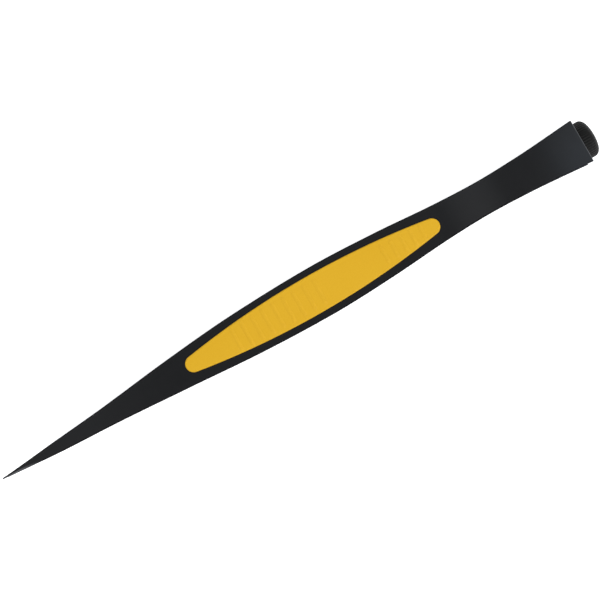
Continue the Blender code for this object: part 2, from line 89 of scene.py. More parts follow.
# The arms.
THICKNESS = 1.0
POINT_THICKNESS = 0.5
POINT_TAPER_LENGTH = 40.0
POINT_ROUNDING = 0.3        # length over which a point closes to a round end
HALF_WIDTHS = (             # station, half-width
    (0.0, 0.16), (5.0, 0.58), (14.5, 1.39), (30.0, 2.45), (49.4, 4.20), (68.7, 5.70), (90.0, 6.30),
    (107.4, 5.63), (122.9, 4.50), (134.6, 4.10), (146.2, 4.45), (154.0, 4.98), (162.1, 5.68),
)
REAR_CORNER_RADIUS = 0.2
POINT_OFFSET = 1.05         # of the points towards -Y
POINT_OFFSET_LENGTH = 64.0
POINT_OPENING = 4.0
GRIP_OPENING = 7.2
LIGHT_OPENING = 5.6
REAR_OPENING = 5.1
POINT_SLOPE = 0.072
POINT_STRAIGHT_END = 37.5
GRIP_FLAT = (51.0, 123.5)
LIGHT_FLAT = (140.0, 153.5)
OUTER_EDGE_RADIUS = 0.16
INNER_EDGE_RADIUS = 0.12
END_EDGE_RADIUS = 0.16
EDGE_SEGMENTS = 4
EDGE_SUPPORT = 0.06

# Shares of the strip's half-width or thickness.
EDGE_SHARE = 0.5            # the most that an edge's rounding may take
INNER_EDGE_SHARE = 0.3
SUPPORT_SHARE = 0.1
GROUND_ACROSS = 0.85        # taken by the slope on the points' ground flanks
GROUND_DOWN = 0.6
NOSE_INSET = 0.3            # how far the faces close in at the very point
INNER_INSET_SHARE = 0.7     # of an end's rounding, the part on the inner face
END_SIDE_SHARE = 0.3        # and the part on the sides

# Where the arms' coating changes, and where a sheen and highlights are painted on it.
GROUND_LENGTH = 12.5        # of the points' -Y flanks, which are ground to a slope and carry a painted highlight
FULLY_GROUND_LENGTH = GROUND_LENGTH / 4
BARE_LENGTH = 16.0          # of the points' bare inner faces
BARE_FADE = 3.0
# painted highlight along the rear cut end, fading out over this distance from the end
CUT_END_HIGHLIGHT_FADE = (0.05, 0.22)
PAINTED_SHEEN_FROM = 147.0         # a painted sheen, standing in for light off the rear bend, lightens the coating from here to the rear
PAINTED_SHEEN_FULLY = ARM_LENGTH - 1.0
PAINTED_SHEEN_LEAN = 0.3           # how much stronger the painted sheen is on the -Y side, towards the key light, than in the middle

# Stations of the arms' rings.
POINT_STATIONS = (0.01, 0.04, 0.09, 0.16, 0.28, 0.45, 0.7, 1.0, 1.4)
EVEN_FROM = 2.0             # the rings are evenly spaced from here to the rear corners
ARM_STEP = 0.8
CORNER_STEPS = 12
LAST_RING_GAP = 0.001

# The grip pads.
PAD_END_RADIUS = 2.06
PAD_RIM_RADIUS = 0.3
PAD_DEPTH = 0.36            # below the arm's outer face
PAD_SEAM = 0.05
PAD_ARC_STEPS = 96
PAD_END_STEPS = 20
RIB_HEIGHT = 0.13
RIB_WIDTH = 0.95
RIB_FULLNESS = 0.7          # below 1 makes a rib's section fuller than a cosine
RIB_GROUPS = ((66.0, 89.0, 9, 2.9), (107.0, 117.5, 5, 1.9))      # first, last station, count, half length

# Rings of the pads, by distance from an end, and rows across them, by distance from a rim.
PAD_END_RINGS = (0.004, 0.03, 0.08, 0.15, 0.24, 0.35, 0.5, 0.7, 0.95, 1.25, 1.6, 2.0)
PAD_EVEN_FROM = 2.2
PAD_EVEN_RINGS = 560
PAD_RIM_ROWS = (0.0, 0.02, 0.06, 0.12, 0.2, 0.3, 0.42)
PAD_NARROW = 0.9            # half-width below which the rim rows close up
PAD_INNER_ROWS = 36

# The light. Radii are from its axis.
ROUND = 96
BARREL_RADIUS = 4.3
BARREL_FRONT_RADIUS = 3.7
BARREL_STEP = 145.0         # where the barrel slopes down to its slimmer front
BARREL_SLOPE_LENGTH = 0.7
LAMP_BORE = 3.2
CELL_BORE = 3.9
CELL_BORE_FROM = 145.5
BORE_EDGE = 0.05
REAR_GROOVES = (158.2, 157.4, 156.6)
STEP_GROOVE = 145.9
FRONT_GROOVES = (143.2, 142.4, 141.6)
REAR_SUPPORTS = (155.8, 147.2, 146.4)       # plain rings that keep the shading even between grooves
FRONT_SUPPORTS = (140.8, 137.0)
BRAZE_FILLET = 0.35

# The tail cap.
CAP_RADIUS = 4.8
CAP_RIBS = 44
CAP_RIB_DEPTH = 0.11
CAP_SHOULDER = 159.6
DOME_FROM = 163.7
DOME_FULLNESS = 0.8         # below 1 makes the dome squarer than an ellipse
DOME_RIB_FADE = (48.0, 80.0)        # degrees from the dome's top over which the ribs rise
SPIGOT_RADIUS = 3.65
SPIGOT_BORE = 2.95
SPIGOT_BORE_END = 158.6
RING_GROOVE = (157.6, 158.4)
RING_GROOVE_RADIUS = 3.35
THREAD_PITCH = 0.5
THREAD_DEPTH = 0.1

# Colours of the coating, its painted sheen and highlights, the bare steel and the pads.
COAT_TONES = ((0.0050, 0.0053, 0.0060), (0.0064, 0.0068, 0.0077))
# painted sheen: the rear of the arms painted lighter and bluer, standing in for light off the bend
PAINTED_SHEEN_TONE = (0.014, 0.0165, 0.020)
WORN_EDGE_TONE = (0.08, 0.085, 0.09)
# painted highlight on the rear cut end
CUT_END_HIGHLIGHT_TONE = (0.16, 0.17, 0.18)
# painted highlight on the points' -Y ground flanks, where they face the key light
GROUND_FLANK_HIGHLIGHT_TONE = (0.095, 0.097, 0.10)
STEEL_TONES = ((0.17, 0.17, 0.175), (0.28, 0.28, 0.285))
PAD_TONES = ((0.685, 0.386, 0.0105), (0.703, 0.402, 0.014))
PAD_GRAIN_TONE = (0.64, 0.347, 0.009)
NOISE_SPREAD = (0.3, 0.7)   # the range that most of a noise's values fall in

# The camera.
FOCAL_LENGTH = 135.0
SENSOR = 36.0
CAMERA_DISTANCE = 545.0
CAMERA_TILT = 1.2           # towards -Y
CAMERA_ROLL = 29.9
CAMERA_AIM = (83.94, 0.64, 3.5)

# The studio, in metres.
FLOOR_SIZE = 6.0
FLOOR_GAP = 0.00002
FLOOR_TONES = ((0.93, 0.93, 0.93), (0.95, 0.95, 0.95))
FLOOR_GLOW = 0.62
WHITE_WALL = (0.76, 0.775, 0.80)
WALL_FOOT = (0.50, 0.51, 0.53)
DIM_CEILING = (0.03, 0.03, 0.033)
DIM_WAY = (-0.05, 0.07, 1.0)        # towards the middle of the dim ceiling
WALL_MIDDLE, WALL_TOP, CEILING_EDGE = 0.45, 0.82, 0.985      # cosines of the angle from the ceiling's middle
KEY_PLACE, KEY_SIZE, KEY_POWER = (0.34, -0.56, 0.58), 0.5, 4.3
FILL_PLACE, FILL_SIZE, FILL_POWER = (-0.5, 0.5, 0.6), 0.8, 2.0


def at(station, side, height):
    return Vector((POINT_X + station * MM, side * MM, AXIS_Z + height * MM))


def smooth_step(start, end, value):
    t = min(1.0, max(0.0, (value - start) / (end - start)))
    return t * t * (3 - 2 * t)


def curve_through(knots, value):
    """Height at value of the smooth curve through the (place, height) knots."""
    last = len(knots) - 1
    index = 0
    while index < last - 1 and value > knots[index + 1][0]:
        index += 1

    def slope(i):
        low = max(0, i - 1)
        high = min(last, i + 1)
        return (knots[high][1] - knots[low][1]) / (knots[high][0] - knots[low][0])

    x0, y0 = knots[index]
    x1, y1 = knots[index + 1]
    span = x1 - x0
    t = (value - x0) / span
    rise = y0 * (1 + 2 * t) * (1 - t) ** 2 + y1 * t * t * (3 - 2 * t)
    return rise + span * (slope(index) * t * (1 - t) ** 2 - slope(index + 1) * t * t * (1 - t))


# Mesh helpers.

def new_object(name, mesh):
    obj = bpy.data.objects.new(name, mesh)
    bpy.context.scene.collection.objects.link(obj)
    return obj


def shade(obj, angle=35.0):
    obj.data.shade_smooth()
    obj.data.set_sharp_from_angle(angle=math.radians(angle))


def face_outwards(work):
    bmesh.ops.recalc_face_normals(work, faces=work.faces)
    if work.calc_volume(signed=True) < 0:
        bmesh.ops.reverse_faces(work, faces=work.faces)


def loft(name, loops, marks=None):
    """A closed solid through rings of points with the same count. marks holds each point's named values."""
    mesh = bpy.data.meshes.new(name)
    work = bmesh.new()
    layers = {key: work.verts.layers.float.new(key) for key in (marks[0][0] if marks else ())}
    rings = []
    for ring_index, loop in enumerate(loops):
        ring = []
        for point_index, point in enumerate(loop):
            vert = work.verts.new(point)
            for key, layer in layers.items():
                vert[layer] = marks[ring_index][point_index][key]
            ring.append(vert)
        rings.append(ring)
    for first, second in zip(rings, rings[1:]):
        for i in range(len(first)):
            j = (i + 1) % len(first)
            work.faces.new((first[i], first[j], second[j], second[i]))
    work.faces.new(list(reversed(rings[0])))
    work.faces.new(rings[-1])
    face_outwards(work)
    work.to_mesh(mesh)
    work.free()
    return new_object(name, mesh)


def turned(name, profile, around=ROUND, radius_at=None):
    """A solid of revolution about the light's axis through (station, radius) points.

    The profile is closed if it starts off the axis. radius_at(index, radius, angle) may shape each point."""
    mesh = bpy.data.meshes.new(name)
    work = bmesh.new()
    rings = []
    for index, (station, radius) in enumerate(profile):
        if radius == 0.0:
            rings.append([work.verts.new(at(station, 0.0, 0.0))])
            continue
        ring = []
        for step in range(around):
            angle = 2 * math.pi * step / around
            reach = radius_at(index, radius, angle) if radius_at else radius
            ring.append(work.verts.new(at(station, reach * math.cos(angle), reach * math.sin(angle))))
        rings.append(ring)
    pairs = list(zip(rings, rings[1:]))
    if profile[0][1] > 0.0:
        pairs.append((rings[-1], rings[0]))
    for first, second in pairs:
        for i in range(around):
            j = (i + 1) % around
            here = [first[i % len(first)], first[j % len(first)]]
            there = [second[j % len(second)], second[i % len(second)]]
            work.faces.new(list(dict.fromkeys(here + there)))
    face_outwards(work)
    work.to_mesh(mesh)
    work.free()
    obj = new_object(name, mesh)
    shade(obj)
    return obj


def add_bevel(obj, width, segments):
    bevel = obj.modifiers.new("edges", "BEVEL")
    bevel.width = width * MM
    bevel.segments = segments
    return bevel


def applied(obj):
    """The object with its modifiers made part of its mesh."""
    bpy.context.view_layer.update()
    graph = bpy.context.evaluated_depsgraph_get()
    mesh = bpy.data.meshes.new_from_object(obj.evaluated_get(graph))
    obj.modifiers.clear()
    obj.data = mesh
    return obj


def paint(obj, mat):
    obj.data.materials.clear()
    obj.data.materials.append(mat)
    return obj


def finish_piece(piece, mat, body, slot, *nodes):
    """Paints a piece, hides the frame's nodes that it stands in for and rides it on its body."""
    paint(piece, mat)
    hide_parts(*nodes)
    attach(piece, body)


# The arms' shape.

def arm_half_width(station):
    return curve_through(HALF_WIDTHS, station)


def arm_centre(station):
    if station >= POINT_OFFSET_LENGTH:
        return 0.0
    return -POINT_OFFSET * 0.5 * (1 + math.cos(math.pi * station / POINT_OFFSET_LENGTH))


def inner_face(station):
    if station <= POINT_STRAIGHT_END:
        return POINT_OPENING + POINT_SLOPE * station
    if station < GRIP_FLAT[0]:
        start = POINT_OPENING + POINT_SLOPE * POINT_STRAIGHT_END
        span = GRIP_FLAT[0] - POINT_STRAIGHT_END
        t = (station - POINT_STRAIGHT_END) / span
        rise = GRIP_OPENING - start
        first = POINT_SLOPE * span
        return start + first * t + (3 * rise - 2 * first) * t * t + (first - 2 * rise) * t ** 3
    if station <= LIGHT_FLAT[0]:
        fall = smooth_step(GRIP_FLAT[1], LIGHT_FLAT[0], station)
        return GRIP_OPENING + (LIGHT_OPENING - GRIP_OPENING) * fall
    bend = max(0.0, station - LIGHT_FLAT[1]) / (ARM_LENGTH - LIGHT_FLAT[1])
    return LIGHT_OPENING + (REAR_OPENING - LIGHT_OPENING) * bend ** 1.5


def arm_thickness(station):
    return POINT_THICKNESS + (THICKNESS - POINT_THICKNESS) * smooth_step(0.0, POINT_TAPER_LENGTH, station)


def round_off(distance, radius):
    """How far a quarter-round edge of that radius has fallen away, at a distance from the end face."""
    if distance >= radius:
        return 0.0
    return radius - math.sqrt(max(0.0, radius ** 2 - (radius - distance) ** 2))


def arm_stations():
    even_end = ARM_LENGTH - REAR_CORNER_RADIUS
    count = round((even_end - EVEN_FROM) / ARM_STEP)
    even = [EVEN_FROM + (even_end - EVEN_FROM) * i / count for i in range(count + 1)]
    turns = [math.pi / 2 * i / CORNER_STEPS for i in range(1, CORNER_STEPS)]
    corner = [even_end + REAR_CORNER_RADIUS * math.sin(turn) for turn in turns]
    return [*POINT_STATIONS, *even, *corner, ARM_LENGTH - LAST_RING_GAP]


def arm_faces(station):
    """The strip's half-width, inner face and outer face at a station, with its ends rounded."""
    from_end = ARM_LENGTH - station
    end_fall = round_off(from_end, END_EDGE_RADIUS)
    half = arm_half_width(station) - round_off(from_end, REAR_CORNER_RADIUS) - end_fall * END_SIDE_SHARE
    nose = math.sqrt(max(0.0, 1 - (1 - min(1.0, station / POINT_ROUNDING)) ** 2))
    thick = arm_thickness(station)
    inset = end_fall + thick * NOSE_INSET * (1 - nose)
    inner = inner_face(station) + inset * INNER_INSET_SHARE
    outer = inner_face(station) + thick - inset
    return half * nose, inner, outer


def arm_marks(station):
    """How much of each change the coating shows at a station."""
    return {
        "bare": 1 - smooth_step(BARE_LENGTH - BARE_FADE, BARE_LENGTH, station),
        # painted highlight along the rear cut end
        "cut_end_highlight": 1 - smooth_step(*CUT_END_HIGHLIGHT_FADE, ARM_LENGTH - station),
        # slope of the -Y ground flanks, also painted lighter there as a painted highlight
        "ground_flank_and_highlight": 1 - smooth_step(FULLY_GROUND_LENGTH, GROUND_LENGTH, station),
        # painted sheen towards the rear
        "painted_sheen": smooth_step(PAINTED_SHEEN_FROM, PAINTED_SHEEN_FULLY, station),
    }


def arm_section(station, up):
    """Ring of points round the strip at a station, and each point's marks for the coating's material."""
    half, inner, outer = arm_faces(station)
    centre = arm_centre(station)
    here = arm_marks(station)
    outer_radius = min(OUTER_EDGE_RADIUS, EDGE_SHARE * half, EDGE_SHARE * (outer - inner))
    inner_radius = min(INNER_EDGE_RADIUS, EDGE_SHARE * half, INNER_EDGE_SHARE * (outer - inner))
    ground_across = outer_radius + (GROUND_ACROSS * half - outer_radius) * here["ground_flank_and_highlight"]
    ground_down = outer_radius + (GROUND_DOWN * (outer - inner) - outer_radius) * here["ground_flank_and_highlight"]
    support = min(EDGE_SUPPORT, SUPPORT_SHARE * half)
    points = []
    marks = []

    def add(side, height, edge, wall, inside, flank):
        points.append(at(station, centre + side, up * height))
        marks.append({
            "edge": edge, "wall": wall, "bare": here["bare"] * inside, "cut_end_highlight": here["cut_end_highlight"],
            # the painted sheen leans to the -Y side, towards the key light
            "ground_flank_and_highlight": here["ground_flank_and_highlight"] * flank, "painted_sheen": here["painted_sheen"] * (1.0 - PAINTED_SHEEN_LEAN * side / half),
        })

    # Each corner: its side and height, rounding across and down, first angle, inside mark and flank mark.
    corners = (
        (half, outer, outer_radius, outer_radius, 0.0, 0.0, 0.0),
        (-half, outer, ground_across, ground_down, 90.0, 0.0, 1.0),
        (-half, inner, inner_radius, inner_radius, 180.0, 1.0, 0.0),
        (half, inner, inner_radius, inner_radius, 270.0, 1.0, 0.0),
    )
    for side, height, across, down, turn, inside, flank in corners:
        inwards = -math.copysign(1.0, side)
        downwards = 1.0 if inside else -1.0
        flat = (side + inwards * (across + support), height, 0.0, 0.0, inside, 0.0)
        if turn in (90.0, 270.0):
            add(*flat)
        for i in range(EDGE_SEGMENTS + 1):
            part = i / EDGE_SEGMENTS
            angle = math.radians(turn + 90.0 * part)
            add(side + inwards * across + across * math.cos(angle),
                height + downwards * down + down * math.sin(angle),
                math.sin(math.pi * part), 1.0, inside, flank)
        if turn not in (90.0, 270.0):
            add(*flat)
    return points, marks


def pad_lens():
    """The pad's outline as two long arcs that run into round ends.

    Gives the place of an end's centre, the arcs' radius, and how far the arcs' centres lie off the axis."""
    end_centre = (PAD_ENDS[1] - PAD_ENDS[0]) / 2 - PAD_END_RADIUS
    run = end_centre ** 2 + PAD_HALF_WIDTH ** 2 - PAD_END_RADIUS ** 2
    arc = run / (2 * (PAD_HALF_WIDTH - PAD_END_RADIUS))
    return end_centre, arc, arc - PAD_HALF_WIDTH


def pad_outline(grow):
    """The pad's outline grown all round: (along from the pad's middle, across) points."""
    end_centre, arc, arc_centre = pad_lens()
    reach = math.atan2(end_centre, arc_centre)
    arc_angles = [-reach + 2 * reach * i / PAD_ARC_STEPS for i in range(PAD_ARC_STEPS + 1)]
    end_angles = [reach + (math.pi - 2 * reach) * i / PAD_END_STEPS for i in range(1, PAD_END_STEPS)]
    radius = arc + grow
    end = PAD_END_RADIUS + grow
    side = [(radius * math.sin(a), radius * math.cos(a) - arc_centre) for a in arc_angles]
    cap = [(end_centre + end * math.sin(a), end * math.cos(a)) for a in end_angles]
    half_loop = side + cap
    return half_loop + [(-u, -v) for u, v in half_loop]


def pad_edge_distance(along_pad, across):
    """How far inside the pad's outline a point lies."""
    end_centre, arc, arc_centre = pad_lens()
    u, v = abs(along_pad), abs(across)
    if u * arc_centre > end_centre * (v + arc_centre):
        return PAD_END_RADIUS - math.hypot(u - end_centre, v)
    return arc - math.hypot(u, v + arc_centre)


def pad_half_width(along_pad):
    end_centre, arc, arc_centre = pad_lens()
    u = abs(along_pad)
    tangent = arc * end_centre / math.hypot(end_centre, arc_centre)
    if u <= tangent:
        return math.sqrt(arc ** 2 - u ** 2) - arc_centre
    return math.sqrt(max(0.0, PAD_END_RADIUS ** 2 - (u - end_centre) ** 2))


def build_seat_cutter(name, up):
    """A block of the pad's outline that hollows out its seat in the arm."""
    face = GRIP_OPENING + THICKNESS
    outline = pad_outline(PAD_SEAM)
    heights = (face - PAD_DEPTH, face + THICKNESS)
    return loft(name, [[at(PAD_MIDDLE + u, v, up * height) for u, v in outline] for height in heights])


def build_arm(side_name, up, mat):
    sections = [arm_section(station, up) for station in arm_stations()]
    arm = loft(side_name + "_arm", [points for points, _ in sections], [marks for _, marks in sections])
    cutter = build_seat_cutter(side_name + "_seat_cutter", up)
    cut = arm.modifiers.new("seat", "BOOLEAN")
    cut.operation = "DIFFERENCE"
    cut.object = cutter
    cut.solver = "EXACT"
    applied(arm)
    bpy.data.objects.remove(cutter, do_unlink=True)
    shade(arm)
    paint(arm, mat)
    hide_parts(side_name + "_arm_root", side_name + "_arm_blade")
    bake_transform(arm)


# Grip pads.

def rib_relief(station, across):
    """Height of the low cross ribs on the pad's face."""
    height = 0.0
    for first, last, count, half_length in RIB_GROUPS:
        for i in range(count):
            place = first + (last - first) * i / (count - 1)
            off = math.hypot(station - place, max(0.0, abs(across) - half_length))
            if off < RIB_WIDTH / 2:
                height = max(height, math.cos(math.pi * off / RIB_WIDTH) ** RIB_FULLNESS)
    return RIB_HEIGHT * height


def pad_places():
    """Places along the pad from its middle, close together at its ends."""
    half_length = (PAD_ENDS[1] - PAD_ENDS[0]) / 2
    even_half = half_length - PAD_EVEN_FROM
    even = [-even_half + 2 * even_half * i / PAD_EVEN_RINGS for i in range(PAD_EVEN_RINGS + 1)]
    first = [gap - half_length for gap in PAD_END_RINGS]
    return first + even + [-place for place in reversed(first)]


def pad_rows(half):
    """Places across the pad, close together at its rims."""
    scale = min(1.0, half / PAD_NARROW)
    left = [-half + row * scale for row in PAD_RIM_ROWS]
    inner_half = half - PAD_RIM_ROWS[-1] * scale
    inner = [-inner_half + 2 * inner_half * i / PAD_INNER_ROWS for i in range(1, PAD_INNER_ROWS)]
    return left + inner + [-v for v in reversed(left)]


def pad_ring(along_pad, up):
    """Ring of points round the pad at a place along it."""
    half = pad_half_width(along_pad)
    station = PAD_MIDDLE + along_pad
    low = GRIP_OPENING + THICKNESS - PAD_DEPTH
    ring = [at(station, -half, up * low)]
    for across in pad_rows(half):
        depth = max(0.0, pad_edge_distance(along_pad, across))
        face = PAD_TOP - RIB_HEIGHT - round_off(depth, PAD_RIM_RADIUS)
        ring.append(at(station, across, up * (face + rib_relief(station, across) * min(1.0, depth))))
    ring.append(at(station, half, up * low))
    return ring


def build_pad(side_name, up, mat):
    pad = loft(side_name + "_grip_inlay", [pad_ring(place, up) for place in pad_places()])
    shade(pad, 50.0)
    finish_piece(pad, mat, side_name + "_arm", "grip_rubber", side_name + "_grip_pad")


# The light.

def rounded_edge(station, reach, radius, start, end, steps=4):
    """Arc over a turned piece's outer edge, from start to end in degrees from the tail's direction."""
    centre = station - radius if start < 90 else station + radius
    angles = [math.radians(start + (end - start) * i / steps) for i in range(steps + 1)]
    return [(centre + radius * math.cos(a), reach - radius + radius * math.sin(a)) for a in angles]


def groove(station, radius, width=0.36, depth=0.14, edge=0.05):
    """A fine turned groove, from its tail side to its front side."""
    rear_side = [(width / 2 + edge, radius), (width / 2, radius - edge), (width / 2 - edge, radius - depth)]
    front_side = [(-along, reach) for along, reach in reversed(rear_side)]
    return [(station + along, reach) for along, reach in rear_side + front_side]


def barrel_slope():
    """The slope from the barrel's main part to its front, with eased edges."""
    ease, foot_ease, ease_depth = 0.1, 0.14, 0.06
    slope_end = BARREL_STEP - BARREL_SLOPE_LENGTH
    return [(BARREL_STEP + ease, BARREL_RADIUS), (BARREL_STEP - ease, BARREL_RADIUS - ease_depth),
            (slope_end + foot_ease, BARREL_FRONT_RADIUS + ease_depth), (slope_end, BARREL_FRONT_RADIUS)]


def build_barrel(mat):
    front, rear = stations_of("light_barrel")
    rear_edge, front_edge = 0.12, 0.3
    profile = [(rear, CELL_BORE + BORE_EDGE)]
    profile += rounded_edge(rear, BARREL_RADIUS, rear_edge, 0, 90)
    for place in REAR_GROOVES:
        profile += groove(place, BARREL_RADIUS)
    profile += [(place, BARREL_RADIUS) for place in REAR_SUPPORTS]
    profile += groove(STEP_GROOVE, BARREL_RADIUS, 0.3, 0.1)
    profile += barrel_slope()
    for place in FRONT_GROOVES:
        profile += groove(place, BARREL_FRONT_RADIUS, 0.3, 0.12)
    profile += [(place, BARREL_FRONT_RADIUS) for place in FRONT_SUPPORTS + (front + front_edge + 0.1,)]
    profile += rounded_edge(front, BARREL_FRONT_RADIUS, front_edge, 90, 180)
    profile += [(front, LAMP_BORE + BORE_EDGE), (front + BORE_EDGE, LAMP_BORE), (CELL_BORE_FROM, LAMP_BORE),
                (CELL_BORE_FROM, CELL_BORE), (rear - BORE_EDGE, CELL_BORE)]
    finish_piece(turned("barrel", profile), mat, "light", "barrel_aluminium", "light_barrel")


def build_bezel(mat):
    front, rear = stations_of("front_bezel")
    hole, flange, spigot = 2.7, 3.62, 3.18
    flange_length, edge, spigot_edge, rounding = 0.85, 0.05, 0.08, 0.3
    lip_width, lip_depth = 0.42, 0.34
    flange_end = front + flange_length
    profile = [(rear, hole + 0.04), (rear, spigot - spigot_edge), (rear - spigot_edge, spigot)]
    profile += [(flange_end, spigot), (flange_end, flange - edge), (flange_end - edge, flange)]
    profile += [(front + rounding + 0.06, flange)]
    profile += rounded_edge(front, flange, rounding, 90, 150)
    profile += [(front, flange - lip_width), (front, hole + lip_depth), (front + rounding, hole + 0.02),
                (front + rounding + 0.1, hole)]
    finish_piece(turned("bezel", profile), mat, "light", "barrel_aluminium", "front_bezel")


def build_lamp(glass, metal, phosphor):
    front, rear = stations_of("lamp")
    radius, flange, flange_length, edge, steps = 2.5, 2.9, 1.0, 0.1, 14
    angles = [math.pi / 2 * i / steps for i in range(steps)]
    nose = [(front + radius - radius * math.sin(a), radius * math.cos(a)) for a in angles]
    flange_front = rear - flange_length
    profile = [(rear, 0.0), (rear, flange - edge), (rear - edge, flange)]
    profile += [(flange_front + edge, flange), (flange_front, flange - edge)]
    profile += [(flange_front, radius + edge / 2), (flange_front - edge, radius)]
    body = turned("lamp_body", profile + nose + [(front, 0.0)], 64)
    finish_piece(body, glass, "light", "lamp_clear", "lamp")
    build_lamp_frame(rear, metal, phosphor)


def build_lamp_frame(rear, metal, phosphor):
    """The anvil with its cup, the post, and the yellow phosphor in the cup, seen through the clear body."""
    around = 48
    cup_rear, cup_front, cup_floor = rear - 4.6, rear - 5.5, rear - 4.95
    cup = turned("lamp_cup", [(cup_rear, 0.0), (cup_rear, 0.55), (cup_front + 0.05, 1.05), (cup_front, 1.0),
                              (cup_front, 0.86), (cup_floor, 0.5), (cup_floor, 0.0)], around)
    fill_rear = cup_floor - 0.05
    fill = turned("lamp_phosphor", [(fill_rear, 0.0), (fill_rear, 0.48), (cup_front + 0.08, 0.84),
                                    (cup_front - 0.06, 0.5), (cup_front - 0.1, 0.0)], around)
    parts = [paint(cup, metal), paint(fill, phosphor)]
    half_width, half_height, foot = 0.3, 0.25, rear - 0.3
    corners = [(half_width, half_height), (-half_width, half_height),
               (-half_width, -half_height), (half_width, -half_height)]
    for name, side, start in (("lamp_anvil", 0.42, cup_rear + 0.02), ("lamp_post", -1.2, cup_rear - 0.5)):
        post = loft(name, [[at(station, side + v, h) for v, h in corners] for station in (start, foot)])
        add_bevel(post, 0.04, 2)
        parts.append(paint(applied(post), metal))
    for piece in parts:
        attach(piece, "light")


def saddle_outline():
    """The saddle's end view as (across, height) points, with braze fillets at the arm and an arched foot."""
    top, foot, half = LIGHT_OPENING, 2.4, 4.0
    fillet_steps, arch_steps = 6, 32
    turns = [math.pi / 2 * i / fillet_steps for i in range(fillet_steps + 1)]
    centre_across, centre_height = half + BRAZE_FILLET, top - BRAZE_FILLET
    fillet = [(centre_across - BRAZE_FILLET * math.cos(a), centre_height + BRAZE_FILLET * math.sin(a))
              for a in turns]
    reach = math.acos(foot / BARREL_RADIUS)
    angles = [reach - 2 * reach * i / arch_steps for i in range(arch_steps + 1)]
    arch = [(BARREL_RADIUS * math.sin(a), BARREL_RADIUS * math.cos(a)) for a in angles]
    return [(-half, foot)] + [(-v, h) for v, h in fillet] + list(reversed(fillet)) + [(half, foot)] + arch


def build_saddle(side_name, up, mat):
    """Block that fills the space between the arm's flat and the round barrel."""
    outline = saddle_outline()
    ends = stations_of(side_name + "_saddle")
    block = loft(side_name + "_saddle_block", [[at(end, v, up * h) for v, h in outline] for end in ends])
    bevel = add_bevel(block, 0.18, 3)
    bevel.limit_method = "ANGLE"
    bevel.angle_limit = math.radians(50)
    applied(block)
    shade(block)
    finish_piece(block, mat, "light", "saddle_metal", side_name + "_saddle")


def cap_profile():
    """Rows of the cap's profile: station, radius, share of the ribs' depth, share of the thread's depth."""
    front, rear = stations_of("tail_cap")
    dome_steps, side_steps = 18, 8
    rows = [(rear, 0.0, 0.0, 0.0)]
    for i in range(1, dome_steps + 1):
        turn = math.pi / 2 * i / dome_steps
        station = DOME_FROM + (rear - DOME_FROM) * math.cos(turn) ** DOME_FULLNESS
        rib = smooth_step(*DOME_RIB_FADE, math.degrees(turn))
        rows.append((station, CAP_RADIUS * math.sin(turn) ** DOME_FULLNESS, rib, 0.0))
    side_length = DOME_FROM - CAP_SHOULDER - 0.5
    for i in range(1, side_steps + 1):
        rows.append((DOME_FROM - side_length * i / side_steps, CAP_RADIUS, 1.0, 0.0))
    rows += [(CAP_SHOULDER + 0.3, CAP_RADIUS - 0.02, 0.6, 0.0),
             (CAP_SHOULDER + 0.12, CAP_RADIUS - 0.12, 0.0, 0.0),
             (CAP_SHOULDER, CAP_RADIUS - 0.3, 0.0, 0.0), (CAP_SHOULDER, SPIGOT_RADIUS, 0.0, 0.0)]
    rows += thread_rows(CAP_SHOULDER - 0.1, 1.0, 10)
    groove_front, groove_rear = RING_GROOVE
    rows += [(groove_rear, SPIGOT_RADIUS, 0.0, 0.0), (groove_rear, RING_GROOVE_RADIUS, 0.0, 0.0),
             (groove_front, RING_GROOVE_RADIUS, 0.0, 0.0), (groove_front, SPIGOT_RADIUS, 0.0, 0.0)]
    rows += thread_rows(groove_front - 0.1, 1.3, 14)
    rows += [(front + 0.08, SPIGOT_RADIUS - THREAD_DEPTH, 0.0, 0.0), (front, SPIGOT_RADIUS - 0.2, 0.0, 0.0),
             (front, SPIGOT_BORE + 0.06, 0.0, 0.0), (front + 0.06, SPIGOT_BORE, 0.0, 0.0),
             (SPIGOT_BORE_END, SPIGOT_BORE, 0.0, 0.0), (SPIGOT_BORE_END, 0.0, 0.0, 0.0)]
    return rows


def thread_rows(start, length, steps):
    """Rows of the cap's profile along a threaded stretch of the spigot."""
    return [(start - length * i / steps, SPIGOT_RADIUS, 0.0, 1.0) for i in range(steps + 1)]


def build_cap(mat):
    rows = cap_profile()

    def shaped(index, reach, angle):
        station, _, rib, thread = rows[index]
        valley = 1 - abs(math.sin(CAP_RIBS * angle / 2)) ** 1.5
        turn = (station / THREAD_PITCH - angle / (2 * math.pi)) % 1.0
        helix = abs(2 * turn - 1)
        return reach - CAP_RIB_DEPTH * rib * valley - THREAD_DEPTH * thread * helix

    cap = turned("cap", [(station, reach) for station, reach, _, _ in rows], CAP_RIBS * 6, shaped)
    finish_piece(cap, mat, "cap", "cap_plastic", "tail_cap")


# Materials.

